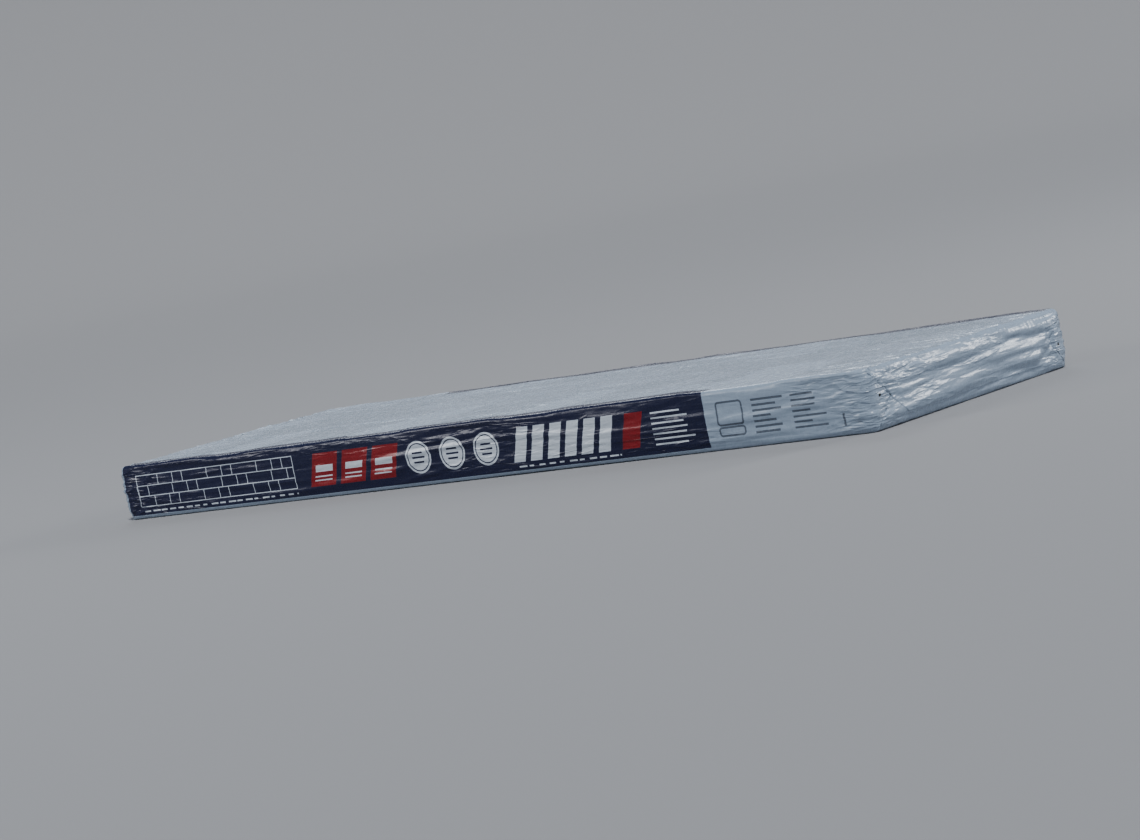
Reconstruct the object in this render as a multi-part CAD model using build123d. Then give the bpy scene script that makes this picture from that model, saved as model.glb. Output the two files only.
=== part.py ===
from build123d import *
import os
from math import radians, tan

# A bundle of laminated asphalt shingles, sealed in its film wrapper and lying flat.
# X runs along the shingles, Y across them and Z up. The origin is the centre of the underside.
# All sizes are in millimetres.

# Shingle
SHINGLE_LENGTH = 1000.0  # along the eave
SHINGLE_WIDTH = 337.0  # from the butt edge to the top edge
PLY_THICKNESS = 1.7  # one coated sheet with its granules
NEST_GAP = 7.0  # between the two backers that lie side by side in a pair
BOND_LAP = 25.0  # how far a backer runs on above the slots
END_TAB_WIDTH = 112.0  # the tab that every shingle starts with
SLOT_WIDTHS = (96.0, 128.0, 84.0, 110.0)  # open width of each slot at the butt edge, in turn
TAB_WIDTHS = (148.0, 92.0, 126.0, 104.0)  # the tab that follows each slot, in turn
SLOT_TAPER = 9.0  # how far each side of a slot leans in over its depth

# Stack
PAIR_COUNT = 11  # two shingles to a pair, laid back to back
LAY_GAP = 0.1  # the granules keep neighbouring faces this far apart

# Wrapper film
FILM_THICKNESS = 0.12
FILM_GAP = 0.1  # between the film and the flat faces of the stack
SIDE_GAP = 2.5  # slack of the film along the long sides and the ends
SEAM_WIDTH = 35.0  # the lap where the film's two long edges are welded together
FLAP_MARGIN = 10.0  # each end flap stops this far short of the opposite edge
MITRE_DEGREES = 45.0  # slant of an end flap's sides, from its side tucks

# Sizes that follow from those above
BACKER_WIDTH = (SHINGLE_WIDTH - NEST_GAP) / 2
SLOT_DEPTH = BACKER_WIDTH - BOND_LAP
PAIR_HEIGHT = 3 * PLY_THICKNESS + LAY_GAP
PAIR_PITCH = PAIR_HEIGHT + LAY_GAP
STACK_HEIGHT = PAIR_COUNT * PAIR_PITCH - LAY_GAP
STACK_BASE = 2 * FILM_THICKNESS + FILM_GAP  # the stack lies on the seam's inner ply
FILM_INNER_RADIUS = SIDE_GAP  # the film bends round an edge within its slack
FILM_OUTER_RADIUS = FILM_INNER_RADIUS + FILM_THICKNESS
CAVITY_LENGTH = SHINGLE_LENGTH + 2 * SIDE_GAP
CAVITY_WIDTH = SHINGLE_WIDTH + 2 * SIDE_GAP
CAVITY_HEIGHT = FILM_THICKNESS + FILM_GAP + STACK_HEIGHT + FILM_GAP
BUNDLE_LENGTH = CAVITY_LENGTH + 2 * FILM_THICKNESS
BUNDLE_WIDTH = CAVITY_WIDTH + 2 * FILM_THICKNESS
BUNDLE_HEIGHT = CAVITY_HEIGHT + 2 * FILM_THICKNESS


def slot_spans(pattern):
    """The start and end of each slot along the butt edge; a pattern's number is the slot it starts with.

    The slots stop where another would leave a last tab that is narrower than the narrowest slot.
    """
    spans = []
    start = -SHINGLE_LENGTH / 2 + END_TAB_WIDTH
    end = start + SLOT_WIDTHS[pattern]
    while end + min(SLOT_WIDTHS) < SHINGLE_LENGTH / 2:
        spans.append((start, end))
        turn = pattern + len(spans)
        start = end + TAB_WIDTHS[(turn - 1) % len(TAB_WIDTHS)]
        end = start + SLOT_WIDTHS[turn % len(SLOT_WIDTHS)]
    return spans


def slot(start, end):
    """The cutter for one slot: wide at the butt edge, and narrower where it ends in the ply."""
    butt = -SHINGLE_WIDTH / 2
    outline = Polygon(
        (start, butt),
        (end, butt),
        (end - SLOT_TAPER, butt + SLOT_DEPTH),
        (start + SLOT_TAPER, butt + SLOT_DEPTH),
        align=None,
    )
    return extrude(outline, PLY_THICKNESS)


def shingle(pattern):
    """One laminated shingle, face up: a toothed ply on Z 0, and its backer strip under the butt half."""
    up = (Align.CENTER, Align.CENTER, Align.MIN)
    ply = Box(SHINGLE_LENGTH, SHINGLE_WIDTH, PLY_THICKNESS, align=up)
    for start, end in slot_spans(pattern):
        ply -= slot(start, end)
    backer = Pos(0, -SHINGLE_WIDTH / 2, 0) * Box(
        SHINGLE_LENGTH, BACKER_WIDTH, PLY_THICKNESS, align=(Align.CENTER, Align.MIN, Align.MAX)
    )
    return (ply + backer).solid()


def nested_pairs():
    """The shingles in pairs, back to back with the backers side by side, every other pair end for end."""
    face_up, face_down = [], []
    patterns = [shingle(pattern) for pattern in range(len(SLOT_WIDTHS))]
    for turn in range(PAIR_COUNT):
        upper = patterns[turn % len(patterns)]
        lower = patterns[(turn + 1) % len(patterns)]
        end_for_end = Rot(0, 0, 180 * (turn % 2))
        lower_back = STACK_BASE + turn * PAIR_PITCH + PLY_THICKNESS
        upper_back = lower_back + PLY_THICKNESS + LAY_GAP
        face_down.append(Pos(0, 0, lower_back) * end_for_end * Rot(180, 0, 0) * lower)
        face_up.append(Pos(0, 0, upper_back) * end_for_end * upper)
    return face_up, face_down


def rounded_block(length, width, height, radius, base):
    """A block on Z base with every edge rounded."""
    block = Box(length, width, height, align=(Align.CENTER, Align.CENTER, Align.MIN))
    return Pos(0, 0, base) * fillet(block.edges(), radius)


def end_flaps(plies, downwards):
    """One flap at each end, the outermost of so many plies: a trapezoid that its mitres narrow."""
    skin = rounded_block(
        BUNDLE_LENGTH + 2 * plies * FILM_THICKNESS, BUNDLE_WIDTH, BUNDLE_HEIGHT, FILM_OUTER_RADIUS, 0
    )
    reach = BUNDLE_HEIGHT - FLAP_MARGIN
    folded = BUNDLE_WIDTH / 2 - FILM_OUTER_RADIUS
    tip = folded - reach * tan(radians(MITRE_DEGREES))
    outline = Polygon((-folded, 0), (folded, 0), (tip, reach), (-tip, reach), align=None)
    across_end = Plane(origin=(0, 0, 0), x_dir=(0, 1, 0), z_dir=(1, 0, 0))
    if downwards:
        across_end = Plane(origin=(0, 0, BUNDLE_HEIGHT), x_dir=(0, -1, 0), z_dir=(1, 0, 0))
    run = skin.bounding_box().size.X
    flaps = skin & extrude(across_end * outline, run, both=True)
    middle = Box(
        BUNDLE_LENGTH - 2 * FILM_OUTER_RADIUS,
        BUNDLE_WIDTH,
        BUNDLE_HEIGHT,
        align=(Align.CENTER, Align.CENTER, Align.MIN),
    )
    return flaps - middle


def wrapper_film():
    """The sealed film: a thin closed skin, its seam's second ply inside, and two flaps over each end."""
    skin = rounded_block(BUNDLE_LENGTH, BUNDLE_WIDTH, BUNDLE_HEIGHT, FILM_OUTER_RADIUS, 0)
    skin += end_flaps(1, downwards=False)
    skin += end_flaps(2, downwards=True)
    cavity = rounded_block(CAVITY_LENGTH, CAVITY_WIDTH, CAVITY_HEIGHT, FILM_INNER_RADIUS, FILM_THICKNESS)
    seam_ply = Pos(0, 0, FILM_THICKNESS) * Box(
        CAVITY_LENGTH - 2 * FILM_INNER_RADIUS,
        SEAM_WIDTH,
        FILM_THICKNESS,
        align=(Align.CENTER, Align.CENTER, Align.MIN),
    )
    return skin - (cavity - seam_ply)


def main():
    """Writes each node to its own STEP file."""
    os.makedirs("parts", exist_ok=True)
    face_up, face_down = nested_pairs()
    export_step(Compound(children=face_up, label="shingles_face_up"), "parts/shingles_face_up.step")
    export_step(Compound(children=face_down, label="shingles_face_down"), "parts/shingles_face_down.step")
    export_step(wrapper_film(), "parts/wrapper_film.step")


if __name__ == "__main__":
    main()
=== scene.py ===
"""The looks of a film-wrapped bundle of laminated asphalt shingles, lying flat.

The wrapper is one printed plastic sheet: a sleeve round the stack, closed by a lap under it and by
folded flaps at both ends. The stack inside keeps its solids and gets the finish of granules on
asphalt. Lengths are in millimetres, but finished meshes, shader noise and the studio use metres.
"""

import logging
import math
from collections.abc import Callable
from dataclasses import dataclass, field
from enum import Enum
from functools import reduce

import bmesh
import bpy
import numpy as np
from mathutils import Matrix, Vector


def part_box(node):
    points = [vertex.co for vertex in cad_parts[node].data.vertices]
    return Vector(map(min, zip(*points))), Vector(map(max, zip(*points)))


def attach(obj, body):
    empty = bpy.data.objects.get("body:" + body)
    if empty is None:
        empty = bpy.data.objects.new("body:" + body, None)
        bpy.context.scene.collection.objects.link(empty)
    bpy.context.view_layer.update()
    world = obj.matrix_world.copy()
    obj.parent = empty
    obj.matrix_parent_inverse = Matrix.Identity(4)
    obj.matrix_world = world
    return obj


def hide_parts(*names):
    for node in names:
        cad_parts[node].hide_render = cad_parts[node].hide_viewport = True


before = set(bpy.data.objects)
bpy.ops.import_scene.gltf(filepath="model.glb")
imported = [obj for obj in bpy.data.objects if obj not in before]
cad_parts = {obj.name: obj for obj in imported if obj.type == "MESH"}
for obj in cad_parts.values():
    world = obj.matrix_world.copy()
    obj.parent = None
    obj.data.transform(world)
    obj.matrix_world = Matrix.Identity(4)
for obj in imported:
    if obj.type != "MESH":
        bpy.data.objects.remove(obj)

LOG = logging.getLogger("shingle_bundle")
MM = 0.001  # a millimetre in metres
SAME_POINT = 1e-6  # points of the film that are no further apart become one, in metres
NO_LENGTH = 1e-7  # edges that are no longer are taken out, in metres

Span = tuple[float, float]
Edges = tuple[float, float, float, float]  # left, right, foot and head
Colour = tuple[float, float, float, float]
Socket = bpy.types.NodeSocket


def rising(value: np.ndarray, full: float) -> np.ndarray:
    """0 where the value is 0 or less, 1 where it reaches full, and in proportion between."""
    return np.clip(value / full, 0, 1)


def eased(part: np.ndarray) -> np.ndarray:
    """A share from 0 to 1 with smooth ends: three times its square less twice its cube."""
    return part * part * (3 - 2 * part)


def vectors(*axes: np.ndarray | float) -> np.ndarray:
    """Coordinates as vectors: broadcast to one shape and joined on a last axis."""
    return np.stack(np.broadcast_arrays(*axes), axis=-1)


def random_from(mixed: np.ndarray) -> np.ndarray:
    """A value from -1 to 1 for each whole number, by mixing its bits."""
    mixed = (mixed ^ (mixed >> 13)) * 1274126177
    return ((mixed ^ (mixed >> 16)) & 0xFFFFFF) / 0x7FFFFF - 1


def grid_faces(rows: int, lines: int, closed: bool) -> np.ndarray:
    """The faces of a grid of points, numbered row by row.

    Args:
        rows: how many rows.
        lines: how many points a row has.
        closed: whether a row's last point joins its first.

    Returns:
        Four point numbers for each face.
    """
    here = np.arange(lines if closed else lines - 1)
    beside = (here + 1) % lines
    row = np.arange(rows - 1)[:, None] * lines
    return vectors(row + here, row + lines + here, row + lines + beside, row + beside).reshape(-1, 4)


def add_object(name: str, data: bpy.types.ID) -> bpy.types.Object:
    """Adds an object to the scene.

    Args:
        name: its name.
        data: its mesh, lamp or camera.

    Returns:
        The object.
    """
    made = bpy.data.objects.new(name, data)
    bpy.context.scene.collection.objects.link(made)
    return made


@dataclass(frozen=True)
class BlockSizes:
    """The outer block of the wrapped bundle."""

    half_length: float  # from the middle to an end, along X
    half_width: float  # from the middle to a long side, along Y
    height: float  # from the underside to the top, along Z

    @classmethod
    def of_wrapper(cls) -> "BlockSizes":
        """The block that the wrapper film's solid fills, read from the frame."""
        return cls(*(float(reach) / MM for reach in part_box("wrapper_film")[1]))


@dataclass
class SheetPatch:
    """A stretch of film as a grid of points, before and after it is creased."""

    points: np.ndarray  # positions, as rows by lines by 3
    normals: np.ndarray  # outward directions, shaped as points
    along: np.ndarray  # the film's own length coordinate at each point, 0 at the bundle's middle
    around: np.ndarray  # the film's own coordinate round the bundle, 0 at the middle of the underside
    closed: bool = False  # whether the last line joins the first
    lift: np.ndarray | None = None  # how far each point stands off the stack, once the film is creased

    def raised(self, lift: np.ndarray) -> "SheetPatch":
        """Moves each point outwards by its lift.

        Args:
            lift: the distance for each point, shaped as along.

        Returns:
            This patch, moved.
        """
        self.points = self.points + self.normals * lift[..., None]
        self.lift = lift
        return self


class Panel(Enum):
    """The four panels of the sleeve, in the order in which the film goes round."""

    UNDERSIDE = "underside"
    FRONT = "front"
    TOP = "top"
    BACK = "back"


@dataclass
class SleeveShape:
    """The smooth shape of the wrapped block: rounded edges, flat panels and closed ends."""

    sizes: BlockSizes
    bend: float = 4.0  # radius of the film where it turns a level edge
    upright_bend: float = 8.0  # radius of the film where a long side turns into an end
    rest_height: float = 0.2  # height of the film's underside over the floor, with the lap ply below it
    lap_height: float = 0.1  # height of the lap ply over the floor
    end_inset: float = 0.6  # how far the folded-in tucks lie inside the outermost flap
    mitre_start: float = 6.5  # depth under the edge from which a flap's sides close in
    flap_lead: float = 7.0  # how far a flap starts before the end's edge, in the panel's surface
    lines_wide: int = 72  # lines across the top, and across the underside
    lines_high: int = 26  # lines up each long side
    steps_bend: int = 5  # lines, or loops, round each edge
    loops_long: int = 290  # loops along the straight run
    loops_end: int = 14  # loops over an end, as far as the line on which it closes
    flap_lines: int = 133  # lines across a flap
    flap_rows: int = 38  # rows down the flat part of a flap
    lap_grid: tuple[int, int] = (200, 9)  # rows and lines of the lap ply

    def __post_init__(self) -> None:
        """Works out the film's half sizes, each stretch round the bundle, and where an end starts."""
        self.half_x = self.sizes.half_length - self.end_inset
        self.half_y = self.sizes.half_width
        self.half_z = (self.sizes.height - self.rest_height) / 2
        self.mid_z = self.sizes.height - self.half_z
        self.flat_y = 2 * (self.half_y - self.bend)
        self.flat_z = 2 * (self.half_z - self.bend)
        self.quarter = math.pi * self.bend / 2
        self.straight = self.half_x - self.bend
        self.end_start = self.straight + self.quarter
        self.foot = self.flat_y / 2
        self.round_trip = 2 * (self.flat_y + self.flat_z) + 4 * self.quarter
        up_the_side = self.foot + self.quarter + self.flat_z / 2
        self.middle = {
            Panel.UNDERSIDE: 0.0,
            Panel.FRONT: up_the_side,
            Panel.TOP: self.round_trip / 2,
            Panel.BACK: self.round_trip - up_the_side,
        }

    def lines(self) -> np.ndarray:
        """The lines that run along the sleeve, once round the bundle from the underside's middle.

        A line's point on a loop is its centre plus the bend radius times its outward direction. The
        centre is a fraction of the inner rectangle's half sizes. On a panel it is the direction
        plus t times the way round, with t from -1 to 1, and at the next corner t stays 1. The way
        round is the panel's direction turned by a quarter.

        Returns:
            Seven rows: centre fractions along y and z, direction along y and z, the film coordinate
            of the panel's middle, or of the line itself on a bend, and how it grows with y and z.
        """
        wide = np.linspace(-1, 1, self.lines_wide, endpoint=False)
        high = np.linspace(-1, 1, self.lines_high, endpoint=False)
        half = np.linspace(0, 1, self.lines_wide // 2, endpoint=False)
        turn = np.linspace(0, math.pi / 2, self.steps_bend, endpoint=False)
        parts = []
        for panel, ny, nz, t, length in (
            (Panel.UNDERSIDE, 0, -1, half, self.flat_y),
            (Panel.FRONT, -1, 0, high, self.flat_z),
            (Panel.TOP, 0, 1, wide, self.flat_y),
            (Panel.BACK, 1, 0, high, self.flat_z),
        ):
            middle, angle = self.middle[panel], math.atan2(nz, ny) - turn
            film = middle + length / 2 + self.bend * turn
            parts.append(vectors(ny + t * nz, nz - t * ny, ny, nz, middle, nz, -ny))
            parts.append(vectors(ny + nz, nz - ny, np.cos(angle), np.sin(angle), film, 0, 0))
        parts.append(vectors(1 - half, -1, 0, -1, self.round_trip, -1, 0))
        return np.concatenate(parts).T

    def loops(self, bend: np.ndarray) -> list[np.ndarray]:
        """The loops across the sleeve, from the end at -X to the end at +X.

        Past the sleeve's straight run a loop turns the end's edge and then closes in on itself, its
        inset growing to half the height, where it is a line.

        Args:
            bend: each line's radius where it turns the end's edge.

        Returns:
            For each loop and line: x, how far it is inset, the turn of its outward direction, and
            the film's length coordinate.
        """
        straight = self.half_x - bend
        turn = np.linspace(0, math.pi / 2, self.steps_bend + 1)[1:, None]
        depth = bend + (self.half_z - bend) * np.linspace(0, 1, self.loops_end + 1)[1:, None]
        x = np.concatenate([straight + bend * np.sin(turn), self.half_x + 0 * depth])
        inset = np.concatenate([bend * (1 - np.cos(turn)), depth])
        angle = np.concatenate([turn + 0 * bend, math.pi / 2 + 0 * depth])
        along = straight + np.concatenate([bend * turn, math.pi / 2 * bend + depth - bend])
        run = np.linspace(-1, 1, self.loops_long)[:, None] * straight
        parts = ((-1, run, x), (1, 0 * run, inset), (-1, 0 * run, angle), (-1, run, along))
        return [np.concatenate([sign * end[::-1], middle, end]) for sign, middle, end in parts]

    def skin(self) -> SheetPatch:
        """The sleeve with its closed ends, as one patch that joins itself round the bundle.

        A loop inset by less than the bend has corners of what is left of the radius, and past that
        its corners are sharp and lie on the folds that run in at 45 degrees.

        Returns:
            The smooth patch.
        """
        fy, fz, ny, nz, base, by_y, by_z = self.lines()
        x, inset, turn, along = self.loops(np.hypot(self.bend * nz, self.upright_bend * ny))
        corner, radius = np.maximum(self.bend, inset), np.maximum(self.bend - inset, 0)
        y = fy * (self.half_y - corner) + radius * ny
        z = fz * (self.half_z - corner) + radius * nz
        normals = vectors(np.sin(turn), np.cos(turn) * ny, np.cos(turn) * nz)
        around = base + by_y * y + by_z * z
        return SheetPatch(vectors(x, y, z + self.mid_z), normals, along + 0 * y, around, closed=True)

    def flap(self, end: int, hangs_down: bool, reach: float) -> SheetPatch:
        """A flap that leaves the top or the underside and is folded over one end.

        Its path runs along the panel, round the end's edge and over the end. Its sides follow the
        folds that run in at 45 degrees, so the half width falls by the depth under the edge.

        Args:
            end: +1 for the end at +X, -1 for the other.
            hangs_down: True for the flap from the top, False for the one from the underside.
            reach: how far it comes over the end, measured from the edge.

        Returns:
            The smooth patch, with points close together near its folded sides. Its lines run the
            way that makes its faces point outwards.
        """
        lead, edge = np.linspace(-self.flap_lead, 0, 4), np.linspace(0, self.quarter, 7)
        over = np.linspace(self.quarter, self.quarter + reach - self.bend, self.flap_rows)
        path = np.concatenate([lead[:-1], edge[:-1], over])[:, None]
        turn = np.clip(path / self.bend, 0, math.pi / 2)
        x = self.straight + np.minimum(path, 0) + self.bend * np.sin(turn)
        drop = self.bend * (1 - np.cos(turn)) + np.maximum(path - self.quarter, 0)
        even = np.linspace(-1, 1, self.flap_lines)
        up = 1.0 if hangs_down else -1.0
        across = end * up * (np.sin(even * math.pi / 2) + even) / 2
        y = across * (self.half_y - np.maximum(self.mitre_start, drop) - self.waver(end, drop, across))
        return SheetPatch(
            vectors(end * x, y, self.mid_z + up * (self.half_z - drop)),
            vectors(end * np.sin(turn), 0 * y, up * np.cos(turn)),
            end * (self.straight + path) + 0 * y,
            self.middle[Panel.TOP if hangs_down else Panel.UNDERSIDE] + up * y,
        )

    @staticmethod
    def waver(end: int, drop: np.ndarray, across: np.ndarray) -> np.ndarray:
        """How far a flap's folded side strays inwards from its mitre, as two waves over its depth."""
        phase = end * 1.7 + np.where(across < 0, 0.0, 2.1)
        return 1.3 + 0.9 * np.sin(drop * 0.26 + phase) + 0.5 * np.sin(drop * 0.61 + 2 * phase)

    def lap(self, width: float) -> SheetPatch:
        """The outer ply of the lap seam, a strip along the middle of the underside.

        Its two long edges wave by 0.4 mm.

        Args:
            width: of the strip.

        Returns:
            The patch, which stays flat.
        """
        rows, lines = self.lap_grid
        x = np.linspace(-self.straight, self.straight, rows)[:, None]
        y = np.linspace(width / 2, -width / 2, lines)
        y = y + 0.4 * np.sin(x * 0.023) * np.sign(y)
        flat = 0 * y
        return SheetPatch(vectors(x, y, self.lap_height), vectors(flat, flat, -1), x + flat, -y, lift=flat)


@dataclass
class SmoothNoise:
    """Seeded value noise in space: random values on a lattice, blended smoothly between its nodes."""

    cell: float  # the lattice's spacing
    seed: int  # picks the values

    def at(self, points: np.ndarray) -> np.ndarray:
        """The noise at each point, from -1 to 1.

        It is the sum over the eight nodes round the point of the node's value times the product of
        its eased nearness along each axis.

        Args:
            points: positions, with the last axis of length 3.

        Returns:
            One value for each point.
        """
        place = points / self.cell
        node = np.floor(place).astype(np.int64)
        part = eased(place - node)
        total = np.zeros(points.shape[:-1])
        for corner in np.ndindex(2, 2, 2):
            step = np.array(corner)
            x, y, z = np.moveaxis(node + step, -1, 0)
            value = random_from(x * 73856093 ^ y * 19349663 ^ z * 83492791 ^ self.seed * 2654435)
            total += np.prod(np.where(step == 1, part, 1 - part), axis=-1) * value
        return total


@dataclass
class Facets:
    """Crumpled film: flat facets that meet in sharp creases, larger along one direction."""

    length: float  # spacing of the facets along their grain
    width: float  # spacing across it
    seed: int  # picks the facets
    sides: int = 5  # how many sides each facet's pyramid has
    stray: float = 0.42  # how far a pyramid's peak strays from the middle of its cell

    def at(self, with_grain: np.ndarray, across: np.ndarray) -> np.ndarray:
        """The relief at each point, about 0 to 1.

        It is the upper envelope of low pyramids, one in each cell of a grid. A pyramid's height is
        its peak's less the largest of its sides' slopes times the offset from the peak.

        Args:
            with_grain: positions along the grain.
            across: positions across it, shaped as with_grain.

        Returns:
            The relief.
        """
        u, v = with_grain / self.length, across / self.width
        relief = np.full(u.shape, -9.0)
        for step_u, step_v in np.ndindex(3, 3):
            home = np.floor(u) + step_u - 1, np.floor(v) + step_v - 1
            off_u = u - home[0] - 0.5 - self.stray * self._random(*home, 1)
            off_v = v - home[1] - 0.5 - self.stray * self._random(*home, 2)
            first = math.pi * self._random(*home, 3)
            fall = np.zeros(u.shape)
            for side in range(self.sides):
                turn = 2 * math.pi * (side + 0.3 * self._random(*home, 4 + side)) / self.sides
                slope = 1 + 0.5 * self._random(*home, 20 + side)
                fall = np.maximum(fall, slope * (off_u * np.cos(first + turn) + off_v * np.sin(first + turn)))
            relief = np.maximum(relief, 0.45 * self._random(*home, 40) - fall)
        return np.clip(0.62 + relief * 0.8, 0, 1.2)

    def _random(self, u: np.ndarray, v: np.ndarray, part: int) -> np.ndarray:
        """A value from -1 to 1 for each cell, the same for every point in it."""
        u, v = u.astype(np.int64), v.astype(np.int64)
        return random_from(u * 374761393 ^ v * 668265263 ^ (self.seed * 97 + part) * 1013904)


@dataclass
class TopShingle:
    """The slots of the shingle that lies uppermost, face up with its butt edge at -Y."""

    # start and end of each slot along X, at the butt edge
    slots: tuple[Span, ...] = ((-388, -304), (-178, -68), (36, 132), (280, 408))
    butt: float = -168.5  # Y of the butt edge
    depth: float = 140.0  # how far the slots reach from it
    taper: float = 9.0  # how far each side of a slot leans in over its depth
    soft: float = 22.0  # distance over which the film sinks to its full depth

    def hollow(self, x: np.ndarray, y: np.ndarray) -> np.ndarray:
        """How far each point is inside a slot: 0 outside, 1 well inside, and smooth between.

        It is the eased share that the way to the nearest of the slot's three edges has of soft.

        Args:
            x: positions along the shingle.
            y: positions across it.

        Returns:
            The share for each point.
        """
        inside = np.zeros(x.shape)
        lean = self.taper * (y - self.butt) / self.depth
        for start, end in self.slots:
            room = np.minimum(np.minimum(x - start - lean, end - lean - x), self.butt + self.depth - y)
            inside = np.maximum(inside, rising(room, self.soft))
        return eased(inside)


@dataclass(frozen=True)
class CreaseKind:
    """How many creases are scattered at a time, and the range of each of their sizes."""

    count: int
    angle: Span  # from the film's length, in degrees
    half_length: Span
    half_width: Span
    height: Span  # mostly near the low end
    bow: float = 3.0  # the most that its middle strays sideways


class Crease(Enum):
    """The kinds of crease, by where they lie."""

    TOP_LONG = CreaseKind(46, (-7, 7), (30, 160), (2.2, 4.5), (0.2, 1.3), 6)
    TOP_EDGE = CreaseKind(26, (-4, 4), (30, 130), (1.8, 3.4), (0.3, 1.2))
    SIDE_UPRIGHT = CreaseKind(70, (60, 120), (8, 30), (1.4, 3), (0.1, 0.6), 2)
    SIDE_LEVEL = CreaseKind(36, (-8, 8), (20, 100), (1.6, 3), (0.2, 0.8))
    SIDE_BROAD = CreaseKind(18, (-5, 5), (50, 160), (2.2, 4.4), (0.4, 1.5), 4)
    END_OF_TOP = CreaseKind(90, (-16, 16), (12, 60), (1.8, 3.4), (0.2, 1.2))
    END_ALL_ROUND = CreaseKind(40, (-30, 30), (10, 40), (1.5, 2.8), (0.2, 1.1))
    END_OF_SIDE = CreaseKind(26, (-40, 40), (8, 34), (1.3, 2.8), (0.3, 1.5))
    FLAP_BROAD = CreaseKind(10, (85, 95), (60, 150), (5, 10), (1.6, 4.2), 5)
    FLAP_LEVEL = CreaseKind(9, (82, 98), (40, 100), (2, 3.6), (0.5, 1.7), 4)
    FLAP_FINE = CreaseKind(16, (78, 102), (15, 60), (1.9, 3), (0.2, 0.8))
    FLAP_SLANTED = CreaseKind(10, (40, 140), (8, 24), (1.4, 2.4), (0.2, 0.8))
    FLAP_GATHERED = CreaseKind(34, (76, 104), (8, 26), (1.8, 2.6), (0.3, 1.3), 2)
    TUCK_GATHERED = CreaseKind(60, (-14, 14), (8, 30), (1.8, 2.6), (0.3, 1.5), 2)
    TUCK_SLANTED = CreaseKind(14, (-60, 60), (6, 16), (1.4, 2.2), (0.2, 0.9))


@dataclass
class CreaseSet:
    """Creases of the film, each a long low ridge in the film's own two coordinates."""

    rng: np.random.Generator  # the seeded source of numbers
    # one row a crease: along, around, angle from the length, half length, half width, height and bow,
    # which is how far its middle strays sideways
    rows: list[np.ndarray] = field(default_factory=list)

    def scatter(self, crease: Crease, along: Span, around: Span, end: int = 1) -> None:
        """Adds creases of one kind, each size drawn evenly from its range, but heights mostly low.

        Args:
            crease: their kind.
            along: range of their middles, along the film's length.
            around: range of their middles, round the bundle.
            end: -1 to turn the range along the length round to the other end.
        """
        kind = crease.value
        spans = [np.multiply(end, along), around, np.radians(kind.angle), kind.half_length, kind.half_width]
        low, high = np.array(spans).T
        drawn = low + (high - low) * self.rng.random((kind.count, 5))
        least, most = kind.height
        tall = least + (most - least) * self.rng.random((kind.count, 1)) ** 2
        bow = kind.bow * self.rng.uniform(-1, 1, (kind.count, 1))
        self.rows.append(np.concatenate([drawn, tall, bow], axis=1))

    def height(self, along: np.ndarray, around: np.ndarray) -> np.ndarray:
        """The creases' joint height at each point of the film.

        A crease is a bell across its width with a shallow dip on each side, fading to nothing at
        its two ends. Crossing creases join by the cube root of the sum of their cubes.

        Args:
            along: the film's length coordinates.
            around: the film's coordinates round the bundle, shaped as along.

        Returns:
            The height at each point.
        """
        crest, dip = np.zeros(along.shape), np.zeros(along.shape)
        for a, b, angle, half, width, tall, bow in np.concatenate(self.rows):
            near = np.nonzero((abs(along - a) < half + 4 * width) & (abs(around - b) < half + 4 * width))
            da, db = along[near] - a, around[near] - b
            run = (da * math.cos(angle) + db * math.sin(angle)) / half
            off = -da * math.sin(angle) + db * math.cos(angle)
            inside = np.clip(1 - run * run, 0, 1)
            off = (off - bow * inside) / (width * (0.45 + 0.55 * inside))
            crest[near] += (tall * inside * np.exp(-off * off)) ** 3
            dip[near] += tall * inside * 0.22 * np.exp(-((abs(off) - 2) ** 2))
        return np.cbrt(crest) - np.minimum(dip, 0.3)


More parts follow.
